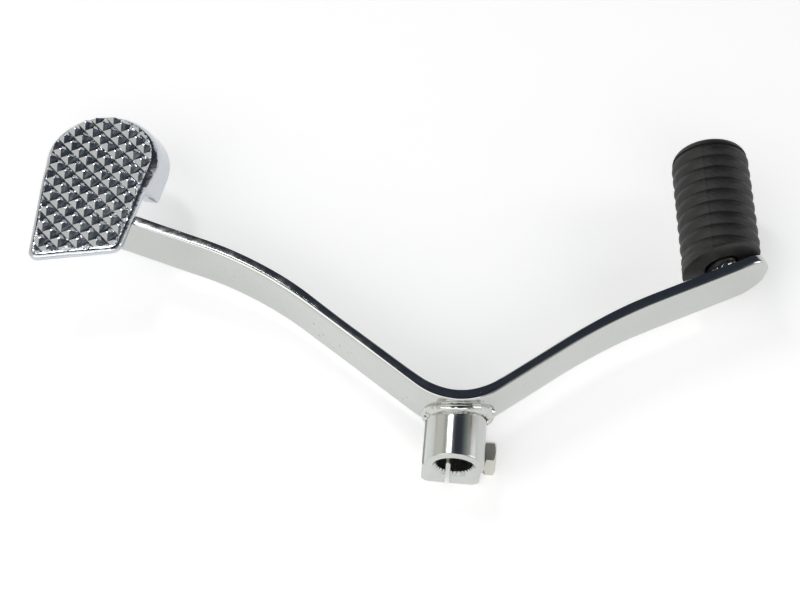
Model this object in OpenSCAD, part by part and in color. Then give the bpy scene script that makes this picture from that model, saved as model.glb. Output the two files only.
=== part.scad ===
// Motorcycle gear shift lever: heel and toe pattern, clamped on a serrated spindle.
// Frame: +X runs forward along the lever to the toe peg, +Y points out from the engine,
// +Z is up. The origin lies on the bore axis, in the plane of the pinch bolt.
// All lengths in millimetres.

/* [Clamp boss] */
// Outside radius of the round half of the boss
boss_radius = 9.4; // [8.9:0.1:11.4]
// Length of the boss along the spindle
boss_length = 15.3; // [13:0.1:17]
// Radius at the tips of the inside serrations
serration_tip_radius = 5.6; // [5.2:0.05:5.7]
// Depth of each serration groove
serration_depth = 0.55; // [0.4:0.05:0.6]
// Number of serrations around the bore
serration_count = 30; // [20:2:36]
// Radial size of the bevel at the mouth of the bore
mouth_bevel = 0.6; // [0.3:0.1:0.8]
// Width of the slit that lets the boss close
slit_width = 1.4; // [1:0.1:2.4]
// Distance of the slit from the bore axis
slit_offset = 1.6; // [0:0.1:2]
// Wall left below the bolt hole
lug_wall = 1.1; // [0.8:0.1:3]
// Distance of the threaded side of the lug from the bore axis
lug_left = 9.9; // [9.4:0.1:11.4]
// Distance of the bolt head seat from the bore axis
lug_right = 8.6; // [8:0.1:9.4]

/* [Pinch bolt] */
// Nominal thread diameter
bolt_diameter = 6; // [5:0.5:6.5]
// Width across the flats of the head
head_across_flats = 10; // [8:0.5:11]
// Height of the head
head_height = 3.4; // [3:0.1:4.5]
// Length of the bolt below its head
bolt_length = 18; // [16:0.5:19]
// Thread pitch
thread_pitch = 1; // [0.8:0.1:1]
// Distance of the bolt axis from the inner end face of the boss
bolt_inset = 8; // [7:0.25:9.5]
// Gap around the bolt in the threaded hole
thread_gap = 0.05; // [0.03:0.01:0.1]
// Gap around the bolt in the plain hole
plain_gap = 0.3; // [0.2:0.05:0.5]
// Thickness of the spring washer
washer_thickness = 1.2; // [1:0.1:1.6]
// Room left in the boss around the washer
washer_room = 0.05; // [0.05:0.05:0.3]
// Room left in the boss around the corners of the head
head_room = 0.3; // [0.2:0.1:0.6]

/* [Lever bar] */
// Height of the flat bar
bar_width = 19.2; // [16:0.2:22]
// Thickness of the flat bar
bar_thickness = 3.8; // [3.2:0.1:4.6]
// Height of the middle of the bar above the bore axis
bar_rise = 5.1; // [4:0.1:6]
// Gap between the boss and the crotch of the bar, bridged by the weld
weld_gap = 0.35; // [0.2:0.05:0.6]
// Inside radius of the crotch bend
crotch_radius = 22; // [20:0.5:28]
// Forward angle of the front arm at the crotch
front_angle = 39.5; // [35:0.5:42]
// Angle of the front arm at the toe peg
front_end_angle = 29; // [24:0.5:33]
// Straight run of the front arm after the crotch
front_run = 25.5; // [20:0.5:32]
// Straight run of the front arm to its tip
front_tip_run = 43; // [38:0.5:48]
// Bend radius of the front arm
front_bend_radius = 205; // [160:5:260]
// Backward angle of the rear arm at the crotch
rear_angle = 34.5; // [30:0.5:38]
// Angle of the rear arm at the heel pad
rear_end_angle = 16; // [13:0.5:20]
// Straight run of the rear arm after the crotch
rear_run = 46; // [38:0.5:54]
// Straight run of the rear arm to its end below the pad
rear_tip_run = 36; // [32:0.5:38]
// Bend radius of the rear arm
rear_bend_radius = 130; // [110:5:160]

/* [Toe peg] */
// Distance of the peg axis back from the tip of the bar, measured along the bar
peg_back = 15.9; // [14.5:0.1:19]
// Radius over the ribs of the rubber
rubber_radius = 13.1; // [11:0.1:13.5]
// Depth of the grooves between ribs
groove_depth = 0.9; // [0.4:0.1:1.2]
// Number of ribs
rib_count = 9; // [7:1:11]
// Length of the rubber along its axis
rubber_length = 44.5; // [38:0.5:50]
// Slope of the foot of the rubber against a square cut
foot_slope = 17; // [12:0.5:22]
// Radius of the steel stem
stem_radius = 5; // [4:0.1:6]
// Length of the stem above the bar
stem_length = 37; // [30:0.5:39]
// Extra radius of the collar that keeps the rubber on
collar_lip = 1; // [0.5:0.1:1.5]

/* [Heel pad] */
// Radius of the round outer end of the pad
pad_radius = 19; // [17:0.2:21]
// Distance from the centre of the round end to the inner edge of the pad
pad_reach = 40; // [36:0.5:46]
// Thickness of the pad plate
pad_thickness = 2.2; // [1.8:0.1:3]
// Height of the tread pyramids
tread_height = 1.3; // [0.8:0.1:1.6]
// Spacing of the tread pyramids
tread_pitch = 4.4; // [4:0.1:7]
// Turn of the tread rows away from a true diagonal
tread_turn = 3.5; // [0:0.5:10]
// Width of the plain rim around the tread
tread_rim = 1.7; // [1.2:0.1:2.6]
// Depth of the turned-down skirt below the plate
skirt_depth = 6; // [4:0.5:10]
// Thickness of the skirt
skirt_thickness = 1.8; // [1.4:0.1:2.4]
// How far the foot of the skirt stands out on the side towards the lever
skirt_flare = 3.6; // [1:0.2:4.2]
// Length of the weld beads between the bar and the pad
pad_weld_run = 7.5; // [5:0.5:14]

/* [Hidden] */
$fn = 96;
eps = 0.01;
steel = [0.80, 0.81, 0.82];
weld = [0.72, 0.72, 0.70];
black_rubber = [0.08, 0.08, 0.08];

// Clamp boss
bolt_radius = bolt_diameter / 2 - thread_gap;
thread_hole_radius = bolt_diameter / 2;
plain_hole_radius = bolt_radius + plain_gap;
groove_radius = serration_tip_radius + serration_depth;
bolt_drop = serration_tip_radius + 0.1 + bolt_radius;
lug_drop = bolt_drop + thread_hole_radius + lug_wall;
corner_radius = 2.5;
corner_bevel = 1.2;
serration_step = 360 / serration_count;

// Pinch bolt
head_seat = lug_right + washer_thickness;
washer_inner = bolt_radius + 0.15;
washer_outer = head_across_flats / 2 - 0.2;
washer_split = 1;
thread_depth = 0.4;
thread_turns = floor((bolt_length - 5) / thread_pitch);

// Lever bar
bar_set_out = boss_length + weld_gap;
bar_low = bar_rise - bar_width / 2;
bar_top = bar_rise + bar_width / 2;
crotch_x = -1.5;
crotch_centre = [crotch_x, bar_set_out + crotch_radius];
tip_radius = 8.5;
tip_over = 0.15;

// Points of the inner face of the front arm, found by walking along it
front_a = [crotch_x + crotch_radius * sin(front_angle),
           bar_set_out + crotch_radius * (1 - cos(front_angle))];
front_b = front_a + front_run * [cos(front_angle), sin(front_angle)];
front_centre = front_b + front_bend_radius * [sin(front_angle), -cos(front_angle)];
front_c = front_centre + front_bend_radius * [-sin(front_end_angle), cos(front_end_angle)];
front_dir = [cos(front_end_angle), sin(front_end_angle)];
front_out = [-sin(front_end_angle), cos(front_end_angle)];
front_tip = front_c + front_tip_run * front_dir;

// The same for the rear arm, which runs towards -X
rear_a = [crotch_x - crotch_radius * sin(rear_angle),
          bar_set_out + crotch_radius * (1 - cos(rear_angle))];
rear_b = rear_a + rear_run * [-cos(rear_angle), sin(rear_angle)];
rear_centre = rear_b + rear_bend_radius * [-sin(rear_angle), -cos(rear_angle)];
rear_c = rear_centre + rear_bend_radius * [sin(rear_end_angle), cos(rear_end_angle)];
rear_dir = [-cos(rear_end_angle), sin(rear_end_angle)];
rear_out = [sin(rear_end_angle), cos(rear_end_angle)];
rear_tip = rear_c + rear_tip_run * rear_dir;

// Toe peg: it stands where its axis leaves the outer face of the bar
peg_foot = front_tip - peg_back * front_dir + bar_thickness * front_out;
peg_rise = bar_rise + 2.4;
peg_lean = 3.4;
peg_tilt = 4;
foot_gap = 4;
stem_bury = 8;
weld_size = 2;
rib_pitch = (rubber_length - 3) / rib_count;
cap_thickness = 5.5;

// Heel pad
pad_base = bar_top;
pad_centre = rear_tip + [-4.3, 22.3];
pad_rear_corner = pad_centre + [-0.59 * pad_radius, -pad_reach];
pad_front_corner = pad_centre + [0.58 * pad_radius, -0.85 * pad_reach];
pad_circles = [[pad_centre, pad_radius], [pad_rear_corner, 3.4], [pad_front_corner, 4.4]];
skirt_circles = [[pad_centre + [0.55 * skirt_flare, 0], pad_radius + 0.45 * skirt_flare],
                 pad_circles[1], [pad_front_corner + [skirt_flare, 0], 4.4]];
edge_bevel = 0.9;
skirt_start = pad_centre[1] - 13.3;
tread_reach = 2 * pad_radius + pad_reach;
groove_half = tread_pitch / 2;

// Convex outline around circles that are listed anticlockwise
function turn_angle(p, q) = atan2(q[0][1] - p[0][1], q[0][0] - p[0][0])
    - acos((p[1] - q[1]) / norm(q[0] - p[0]));
function wrap(a, low) = a < low ? wrap(a + 360, low) : (a >= low + 360 ? wrap(a - 360, low) : a);
function round_outline(c, inset, n, steps = 24) = [
    for (i = [0 : n - 1])
        let (a = turn_angle(c[(i + n - 1) % n], c[i]))
        let (b = wrap(turn_angle(c[i], c[(i + 1) % n]), a))
        for (k = [0 : steps])
            c[i][0] + (c[i][1] - inset) * [cos(a + (b - a) * k / steps), sin(a + (b - a) * k / steps)]
];

// Lay a shape drawn along +Z on the Y axis of the lever, keeping X and turning Y to -Z
module along_y() {
    rotate([-90, 0, 0])
        children();
}

// Points on an arc, from one compass angle to another
function arc(centre, radius, from, to, steps) = [
    for (k = [0 : steps])
        let (a = from + (to - from) * k / steps)
        centre + radius * [cos(a), sin(a)]
];

// One long side of the bent bar, a given distance out from its inner face
function bar_side(out) = concat(
    [rear_tip + out * rear_out],
    arc(rear_centre, rear_bend_radius + out, 90 - rear_end_angle, 90 - rear_angle, 14),
    arc(crotch_centre, crotch_radius - out, 270 - rear_angle, 270 + front_angle, 36),
    arc(front_centre, front_bend_radius + out, 90 + front_angle, 90 + front_end_angle, 12),
    [front_tip + out * front_out]
);

function reversed(list) = [for (i = [len(list) - 1 : -1 : 0]) list[i]];

// The bent flat bar with its rounded front end
module bar_body() {
    difference() {
        translate([0, 0, bar_low])
            linear_extrude(bar_width)
                polygon(concat(bar_side(0), reversed(bar_side(bar_thickness))));
        for (side = [-1, 1])
            translate([front_tip[0], front_tip[1], bar_rise])
                rotate([0, 0, front_end_angle])
                    mirror([0, 0, side > 0 ? 0 : 1])
                        tip_corner();
    }
}

// What the round end takes away from one corner of a square end
module tip_corner() {
    low = bar_width / 2 - tip_radius;
    translate([0, bar_thickness + 5, 0])
        rotate([90, 0, 0])
            linear_extrude(bar_thickness + 10)
                polygon(concat(arc([-tip_radius, low], tip_radius + tip_over, 90, 0, 10),
                               [[3, low], [3, bar_width], [-tip_radius, bar_width]]));
}

// Everything on the outer side of the bar's inner face around the crotch
module crotch_side() {
    translate([0, 0, bar_low])
        linear_extrude(bar_width + 1)
            polygon(concat(
                [rear_a + [0, bar_width]],
                arc(crotch_centre, crotch_radius, 270 - rear_angle, 270 + front_angle, 36),
                [front_a + [0, bar_width]]
            ));
}

module lever_bar() {
    color(steel)
        bar_body();
}

// Outside shape of the boss: round above, square lug below
module boss_blank() {
    along_y()
        cylinder(h = boss_length, r = boss_radius);
    difference() {
        translate([-lug_left, 0, -lug_drop])
            cube([lug_left + lug_right, boss_length, lug_drop]);
        translate([-lug_left, -eps, -lug_drop])
            along_y()
                corner_cut();
        translate([lug_right, -eps, -lug_drop])
            rotate([0, 45, 0])
                translate([-corner_bevel, 0, -corner_bevel])
                    cube([2 * corner_bevel, boss_length + 1, 2 * corner_bevel]);
    }
}

// What a rounded corner takes away from a square one
module corner_cut() {
    difference() {
        translate([-1, -corner_radius, 0])
            cube([corner_radius + 1, corner_radius + 1, boss_length + 1]);
        translate([corner_radius, -corner_radius, -1])
            cylinder(h = boss_length + 3, r = corner_radius);
    }
}

// The serrated bore: a round hole with V grooves cut outwards
module bore_tool() {
    translate([0, -1, 0])
        along_y()
            cylinder(h = boss_length + 2, r = serration_tip_radius);
    for (i = [0 : serration_count - 1])
        rotate([0, (i + 0.5) * serration_step, 0])
            translate([0, -1, 0])
                along_y()
                    linear_extrude(boss_length + 2)
                        groove_shape();
    translate([0, -eps, 0])
        along_y()
            cylinder(h = mouth_bevel + serration_depth, r1 = groove_radius + mouth_bevel,
                     r2 = serration_tip_radius);
}

// One V groove, half a serration step wide
module groove_shape() {
    flank = serration_tip_radius * sin(serration_step / 4) / serration_depth;
    base = serration_tip_radius - 0.3;
    half = (groove_radius - base) * flank;
    polygon([[base, -half], [groove_radius, 0], [base, half]]);
}

// Keeps a wide boss clear of the washer and of the turning corners of the head
module head_clearance() {
    translate([lug_right + eps, bolt_inset, -bolt_drop])
        rotate([0, 90, 0]) {
            cylinder(h = boss_radius, r = washer_outer + washer_room);
            translate([0, 0, washer_thickness - 2 * eps])
                cylinder(h = boss_radius, r = head_across_flats / sqrt(3) + head_room);
        }
}

module clamp_boss() {
    color(steel)
        difference() {
            boss_blank();
            bore_tool();
            translate([-slit_offset - slit_width / 2, -1, -lug_drop - 1])
                cube([slit_width, boss_length + 2, lug_drop + 1]);
            translate([-lug_left - 1, bolt_inset, -bolt_drop])
                rotate([0, 90, 0])
                    cylinder(h = lug_left + 1, r = thread_hole_radius);
            translate([-slit_offset, bolt_inset, -bolt_drop])
                rotate([0, 90, 0])
                    cylinder(h = lug_right + slit_offset + 1, r = plain_hole_radius);
            head_clearance();
            crotch_side();
        }
}

// Raised ring of weld metal around the boss where it meets the bar
module boss_weld_ring() {
    color(weld)
        difference() {
            translate([0, bar_set_out - 2.4, 0])
                along_y()
                    cylinder(h = 6.5, r1 = boss_radius + 0.2, r2 = boss_radius + 3.9);
            translate([0, -1, 0])
                along_y()
                    cylinder(h = boss_length + 9, r = boss_radius);
            crotch_side();
            translate([-2 * boss_radius, 0, -4 * boss_radius])
                cube([4 * boss_radius, 2 * boss_length, 4 * boss_radius + bar_low + 0.4]);
            boss_blank();
        }
}

// Weld metal under the bar, laid on the back of the lug
module boss_weld_foot() {
    color(weld)
        difference() {
            translate([-lug_left + 2.2, boss_length, bar_low])
                rotate([0, 90, 0])
                    cylinder(h = lug_left + lug_right - 3.4, r = 2);
            translate([-2 * boss_radius, 0, -4 * boss_radius])
                cube([4 * boss_radius, boss_length, 8 * boss_radius]);
            crotch_side();
        }
}

// Turn +Z into the bolt axis, which points to +X
module on_bolt_axis() {
    translate([head_seat, bolt_inset, -bolt_drop])
        rotate([0, 90, 0])
            children();
}

module pinch_bolt() {
    tip = 0.8;
    color(steel)
        on_bolt_axis() {
            intersection() {
                rotate([0, 0, 30])
                    cylinder(h = head_height, r = head_across_flats / sqrt(3), $fn = 6);
                rotate_extrude()
                    head_crown();
            }
            rotate_extrude()
                shank_profile(tip);
        }
}

// Half section of the round crown that takes the corners off the hexagon
module head_crown() {
    corner = head_across_flats / sqrt(3);
    polygon([
        [0, 0], [corner - 0.3, 0], [corner, 0.3], [corner, head_height - 0.9],
        [head_across_flats / 2 - 0.3, head_height], [0, head_height]
    ]);
}

// Half section of the shank: plain neck, ring threads, bevelled point
module shank_profile(tip) {
    root = bolt_radius - thread_depth;
    start = -bolt_length + tip;
    polygon(concat(
        [[0, -bolt_length], [root, -bolt_length]],
        [for (i = [0 : thread_turns - 1], k = [0 : 2])
            [k == 1 ? bolt_radius : root, start + (i + k * 0.45) * thread_pitch]],
        [[root, start + thread_turns * thread_pitch],
         [bolt_radius, start + (thread_turns + 0.45) * thread_pitch],
         [bolt_radius, eps], [0, eps]]
    ));
}

module spring_washer() {
    color(steel)
        translate([lug_right, bolt_inset, -bolt_drop])
            rotate([0, 90, 0])
                difference() {
                    cylinder(h = washer_thickness, r = washer_outer);
                    translate([0, 0, -1])
                        cylinder(h = washer_thickness + 2, r = washer_inner);
                    rotate([0, 0, 25])
                        translate([0, -washer_split / 2, -1])
                            cube([washer_outer + 1, washer_split, washer_thickness + 2]);
                }
}

// Stand children up on the bar along the peg axis
module on_peg_axis() {
    translate([peg_foot[0], peg_foot[1], peg_rise])
        rotate([peg_tilt, 0, peg_lean])
            along_y()
                children();
}

// The straight slab of bar that the peg stands on, thickened inwards
module front_slab(extra) {
    translate([front_c[0], front_c[1], 0])
        rotate([0, 0, front_end_angle])
            translate([0, -extra, -60])
                cube([front_tip_run + 40, bar_thickness + extra, 120]);
}

module peg_stem() {
    color(steel)
        difference() {
            union() {
                on_peg_axis()
                    translate([0, 0, -stem_bury])
                        cylinder(h = stem_bury + stem_length, r = stem_radius);
                on_peg_axis()
                    translate([0, 0, stem_length - 3])
                        rotate_extrude()
                            collar_profile();
            }
            front_slab(60);
        }
}

// Half section of the collar near the end of the stem
module collar_profile() {
    polygon([
        [0, 0], [stem_radius, 0], [stem_radius + collar_lip, 1],
        [stem_radius + collar_lip, 2], [stem_radius, 3.5], [0, 3.5]
    ]);
}

module peg_weld() {
    color(weld)
        difference() {
            translate([peg_foot[0], peg_foot[1], peg_rise])
                rotate([0, 0, front_end_angle])
                    along_y()
                        cylinder(h = weld_size, r1 = stem_radius + weld_size + 0.4, r2 = stem_radius + 0.6);
            on_peg_axis()
                translate([0, 0, -stem_bury])
                    cylinder(h = stem_bury + stem_length, r = stem_radius);
        }
}

// Half section of the ribbed rubber from a point below its foot to its domed end
module rubber_profile() {
    valley = rubber_radius - groove_depth;
    top = foot_gap + rubber_length;
    ribs = [for (i = [0 : rib_count - 1], k = [0 : 7])
        let (s = i + k / 8)
        [valley + groove_depth * pow(sin(180 * (k / 8)), 0.5), top - 3 - s * rib_pitch]];
    polygon(concat(
        [[0, top], [rubber_radius - 5.5, top], [rubber_radius - 3.4, top - 0.6],
         [rubber_radius - 1.6, top - 1.8]],
        ribs,
        [[valley, top - 3 - rib_count * rib_pitch], [rubber_radius, foot_gap - 2],
         [rubber_radius + 0.2, -foot_gap], [0, -foot_gap]]
    ));
}

module toe_rubber() {
    color(black_rubber)
        difference() {
            on_peg_axis()
                rotate_extrude()
                    rubber_profile();
            on_peg_axis()
                translate([0, 0, -stem_bury])
                    cylinder(h = stem_bury + stem_length, r = stem_radius);
            on_peg_axis()
                translate([0, 0, stem_length - 3])
                    rotate_extrude()
                        collar_profile();
            on_peg_axis()
                translate([0, 0, -stem_bury])
                    cylinder(h = stem_bury + foot_gap + 3.5, r = stem_radius + weld_size + 1.2);
            translate([peg_foot[0], peg_foot[1] + foot_gap, peg_rise])
                rotate([0, 0, foot_slope])
                    translate([-40, -60, -40])
                        cube([80, 60, 80]);
        }
}

// A slab with the pad outline pulled in by the inset
module pad_slab(inset, height) {
    linear_extrude(height)
        polygon(round_outline(pad_circles, inset, 3));
}

module heel_pad() {
    color(steel) {
        hull() {
            translate([0, 0, pad_base])
                pad_slab(0, pad_thickness - edge_bevel);
            translate([0, 0, pad_base])
                pad_slab(edge_bevel, pad_thickness);
        }
        pad_tread();
        pad_skirt();
    }
}

// Pyramids left standing between two crossing families of V grooves
module pad_tread() {
    base = pad_base + pad_thickness;
    difference() {
        translate([0, 0, base - eps])
            pad_slab(tread_rim, tread_height + eps);
        for (turn = [45, -45], i = [-8 : 8])
            translate([pad_centre[0], pad_centre[1] - pad_reach / 2, base])
                rotate([0, 0, turn + tread_turn])
                    translate([0, i * tread_pitch, 0])
                        tread_groove();
    }
}

// A V groove as wide as the tread spacing, so the ridges end in points
module tread_groove() {
    translate([-tread_reach / 2, 0, 0])
        rotate([90, 0, 90])
            linear_extrude(tread_reach)
                polygon([[0, 0], [groove_half * 1.1, tread_height * 1.1],
                         [-groove_half * 1.1, tread_height * 1.1]]);
}

// Turned-down wall around the outer end of the plate; it thickens towards its foot
module pad_skirt() {
    translate([0, 0, pad_base - skirt_depth])
        difference() {
            hull() {
                translate([0, 0, skirt_depth])
                    pad_slab(0, eps);
                linear_extrude(eps)
                    polygon(round_outline(skirt_circles, 0, 3));
            }
            translate([0, 0, -1])
                pad_slab(skirt_thickness, skirt_depth + 3);
            translate([pad_centre[0] - 2 * pad_radius, skirt_start - 100, -1])
                cube([4 * pad_radius, 100, skirt_depth + 3]);
        }
}

// A three-sided bead of weld metal under the plate along one face of the bar
module pad_weld(side) {
    bead = 2.4;
    color(weld)
        translate([rear_tip[0], rear_tip[1], 0])
            rotate([0, 0, -rear_end_angle])
                translate([1.5, side > 0 ? bar_thickness : 0, bar_top])
                    rotate([90, 0, 90])
                        linear_extrude(pad_weld_run)
                            polygon([[0, 0], [0, -bead], [side * bead, 0]]);
}

module pad_weld_outer() {
    pad_weld(1);
}

module pad_weld_inner() {
    pad_weld(-1);
}

// The pieces are drawn from the inner end face of the boss; this puts the origin at the bolt
module from_bolt() {
    translate([0, -bolt_inset, 0])
        children();
}

from_bolt() lever_bar();
from_bolt() clamp_boss();
from_bolt() boss_weld_ring();
from_bolt() boss_weld_foot();
from_bolt() pinch_bolt();
from_bolt() spring_washer();
from_bolt() peg_stem();
from_bolt() peg_weld();
from_bolt() toe_rubber();
from_bolt() heel_pad();
from_bolt() pad_weld_inner();
from_bolt() pad_weld_outer();
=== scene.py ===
# %% [markdown]
# # A heel-and-toe gear shift lever in chrome
# The lever is a bent flat bar with a clamp for the gearbox spindle in its crotch, a rubber peg
# for the toe and a checkered plate for the heel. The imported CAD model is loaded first. It fixes
# every size and place, and each surface made below is laid over the CAD piece it stands for.

# %% Load the frame
import bpy
import numpy as np
from mathutils import Matrix, Vector


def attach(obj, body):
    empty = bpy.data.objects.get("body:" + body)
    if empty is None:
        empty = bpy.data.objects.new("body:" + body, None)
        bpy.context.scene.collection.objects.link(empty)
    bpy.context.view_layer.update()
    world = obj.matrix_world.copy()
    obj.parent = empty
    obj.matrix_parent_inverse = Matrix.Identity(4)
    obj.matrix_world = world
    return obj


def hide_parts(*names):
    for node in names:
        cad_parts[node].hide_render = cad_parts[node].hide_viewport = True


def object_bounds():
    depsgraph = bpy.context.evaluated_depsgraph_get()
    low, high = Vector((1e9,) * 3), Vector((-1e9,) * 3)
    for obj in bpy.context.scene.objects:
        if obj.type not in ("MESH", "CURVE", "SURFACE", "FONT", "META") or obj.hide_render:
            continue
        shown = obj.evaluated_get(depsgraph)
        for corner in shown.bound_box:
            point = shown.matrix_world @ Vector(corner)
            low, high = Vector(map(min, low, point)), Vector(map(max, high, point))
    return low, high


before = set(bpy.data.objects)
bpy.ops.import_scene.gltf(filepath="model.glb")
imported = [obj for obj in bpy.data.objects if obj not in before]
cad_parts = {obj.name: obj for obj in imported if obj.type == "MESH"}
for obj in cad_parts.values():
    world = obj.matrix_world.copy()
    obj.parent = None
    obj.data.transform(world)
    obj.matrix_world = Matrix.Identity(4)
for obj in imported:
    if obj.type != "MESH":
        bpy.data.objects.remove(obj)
CAD_BOX = [list(corner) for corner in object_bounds()]
print("CAD box in metres:", CAD_BOX)

# %% [markdown]
# A surface on a grid has rows and columns of points. Joining each point to its neighbours gives
# quads, and a closed shape also joins the last column to the first and shuts its two ends. The
# sign of the enclosed volume says whether the faces look outwards, so it is tested and, if it is
# negative, every face is turned over. Working on whole arrays keeps this quick.

# %% Grid helpers
MM = 0.001
BOSS_BACK = 8.0  # the boss starts this far inside the bolt plane, which is y = 0


def build_mesh(name, points, faces, smooth_angle=30.0):
    """Mesh object from points in millimetres, with faces turned so the volume is positive."""
    tris = np.vstack([np.stack([f[:, 0], f[:, k], f[:, k + 1]], 1)
                      for f in faces for k in range(1, f.shape[1] - 1)])
    a, b, c = (points[tris[:, k]] for k in range(3))
    if np.einsum("ij,ij->i", a, np.cross(b, c)).sum() < 0:
        faces = [f[:, ::-1] for f in faces]
    mesh = bpy.data.meshes.new(name)
    mesh.from_pydata((points * MM).tolist(), [], [q for f in faces for q in f.tolist()])
    mesh.update()
    mesh.shade_smooth()
    mesh.set_sharp_from_angle(angle=np.radians(smooth_angle))
    piece = bpy.data.objects.new(name, mesh)
    bpy.context.scene.collection.objects.link(piece)
    print(name, len(points), "points,", len(tris), "triangles")
    return piece


def grid_faces(rows, columns, wrap_rows=False):
    """Quads between neighbouring points of a grid whose columns close on themselves."""
    i = np.arange(rows if wrap_rows else rows - 1)[:, None]
    j = np.arange(columns)[None, :]
    near, far = i * columns, ((i + 1) % rows) * columns
    following = (j + 1) % columns
    return np.stack([near + j, far + j, far + following, near + following], -1).reshape(-1, 4)


def tube(name, grid, wrap_rows=False, smooth_angle=30.0):
    """Closed surface from rows of rings; open ends are shut by a fan to each end ring's centre."""
    rows, columns = grid.shape[:2]
    points = grid.reshape(-1, 3)
    faces = [grid_faces(rows, columns, wrap_rows)]
    if not wrap_rows:
        points = np.vstack([points, grid[0].mean(0), grid[-1].mean(0)])
        ring = np.arange(columns)
        start, end = rows * columns, rows * columns + 1
        last = (rows - 1) * columns
        faces.append(np.stack([np.full(columns, start), ring, np.roll(ring, -1)], 1))
        faces.append(np.stack([np.full(columns, end), last + np.roll(ring, -1), last + ring], 1))
    return build_mesh(name, points, faces, smooth_angle)


def smoothstep(x, low, high):
    """Zero below low, one above high, and an S-curve between."""
    t = np.clip((x - low) / (high - low), 0, 1)
    return t * t * (3 - 2 * t)


def lumps(u, v, waves, seed):
    """Soft bumps between about -1 and 1: a sum of sines with mixed directions and phases."""
    draw = np.random.default_rng(seed)
    total = np.zeros(np.broadcast(u, v).shape)
    for strength, pace_u, pace_v in waves:
        total = total + strength * np.sin(pace_u * u + pace_v * v + draw.uniform(0, 2 * np.pi))
    return total / sum(w[0] for w in waves)


print("grid helpers ready")

# %% [markdown]
# ## The bent bar
# The real bar is cut from flat steel and bent on edge-on rollers: straight runs joined by arcs.
# Walking along it with a heading that only turns inside the arcs gives its inner face exactly.
# A rounded rectangle is then carried along that walk. Near the toe end its height shrinks along
# a quarter circle, which makes the round tip, and a small inset at both ends breaks the edges.

# %% Walk along the bar
BAR_RUNS = [  # length of a straight run, or radius and turn of a bend, from the heel to the toe
    ("straight", 36.0), ("bend", 130.0, 16.0 - 34.5), ("straight", 46.0),
    ("bend", 22.0, 34.5 + 39.5), ("straight", 25.5), ("bend", 205.0, 29.0 - 39.5),
    ("straight", 43.0)]
HEEL_HEADING = -16.0
BAR_WIDTH, BAR_THICKNESS, BAR_RISE = 19.2, 3.8, 5.1
BAR_SET_OUT, CROTCH_X = 15.65 - BOSS_BACK, -1.5
TIP_RADIUS = 8.5


def walk_bar(step=0.05):
    """Distance, heading and place along the inner face, by summing short steps."""
    turns, lengths = [], []
    for run in BAR_RUNS:
        length = run[1] if run[0] == "straight" else run[1] * abs(np.radians(run[2]))
        turns.append(0.0 if run[0] == "straight" else np.radians(run[2]) / length)
        lengths.append(length)
    ends = np.cumsum([0] + lengths)
    heads = np.radians(HEEL_HEADING) + np.cumsum([0] + [t * n for t, n in zip(turns, lengths)])
    s = np.arange(0, ends[-1] + step / 2, step)
    heading = np.interp(s, ends, heads)
    middle = (heading[1:] + heading[:-1]) / 2
    place = np.zeros((len(s), 2))
    place[1:, 0] = np.cumsum(np.cos(middle)) * step
    place[1:, 1] = np.cumsum(np.sin(middle)) * step
    crotch = np.argmin(place[:, 1])
    place += np.array([CROTCH_X, BAR_SET_OUT]) - place[crotch]
    return s, heading, place


WALK, HEADING, PLACE = walk_bar()
BAR_LENGTH = WALK[-1]


def on_bar(s, out, z):
    """Points at distance s along the bar, out from its inner face, at height z."""
    heading = np.interp(s, WALK, HEADING)
    x = np.interp(s, WALK, PLACE[:, 0]) - out * np.sin(heading)
    y = np.interp(s, WALK, PLACE[:, 1]) + out * np.cos(heading)
    return np.stack(np.broadcast_arrays(x, y, z), -1)


HEEL_TIP, TOE_TIP = PLACE[0], PLACE[-1]
print("bar is", round(BAR_LENGTH, 2), "mm along its inner face; toe tip at", TOE_TIP)

# %% Carry the section along
EDGE = 0.65  # radius of the broken edges
ROLLED_WAVES = [(1, 1, 0.4), (0.7, 2.1, 1), (0.5, 0.6, 2)]  # strength, pace along, pace up


def rounded_loop(arc_points=6, side_points=14):
    """Signs and arc offsets of a rounded rectangle: where each point sits before scaling."""
    across, up, cos_part, sin_part = [], [], [], []
    for corner, (sx, sz) in enumerate([(1, 1), (-1, 1), (-1, -1), (1, -1)]):
        angle = np.radians(90 * corner + np.linspace(0, 90, arc_points))
        across += [sx] * arc_points
        up += [sz] * arc_points
        cos_part += list(np.cos(angle))
        sin_part += list(np.sin(angle))
        if corner in (1, 3):
            along = np.linspace(sz, -sz, side_points + 2)[1:-1]
            across += [sx] * side_points
            up += list(along)
            cos_part += [sx] * side_points
            sin_part += [0] * side_points
    return (np.array(v, float) for v in (across, up, cos_part, sin_part))


def end_inset(distance):
    """How far the section has drawn in at a given distance from a rounded end."""
    d = np.clip(distance, 0, EDGE)
    return EDGE - np.sqrt(np.maximum(EDGE**2 - (EDGE - d) ** 2, 0))


def inner_edge(s):
    """Radius of the upper inner edge, which polishing has worn away along the heel arm."""
    heel = 0.6 * smoothstep(s, 10, 50) * (1 - smoothstep(s, 92, 124))
    crotch = 0.7 * smoothstep(s, 138, 152) * (1 - smoothstep(s, 166, 204))
    toe = 0.8 * smoothstep(s, BAR_LENGTH - 15, BAR_LENGTH - 4)
    return EDGE + heel + crotch + toe


def outer_edge(s):
    """Radius of the upper outer edge, worn round on both arms beside the crotch."""
    heel = 0.9 * smoothstep(s, 66, 96) * (1 - smoothstep(s, 118, 132))
    toe = 0.9 * smoothstep(s, 146, 158) * (1 - smoothstep(s, 176, 206))
    return EDGE + heel + toe


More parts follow.
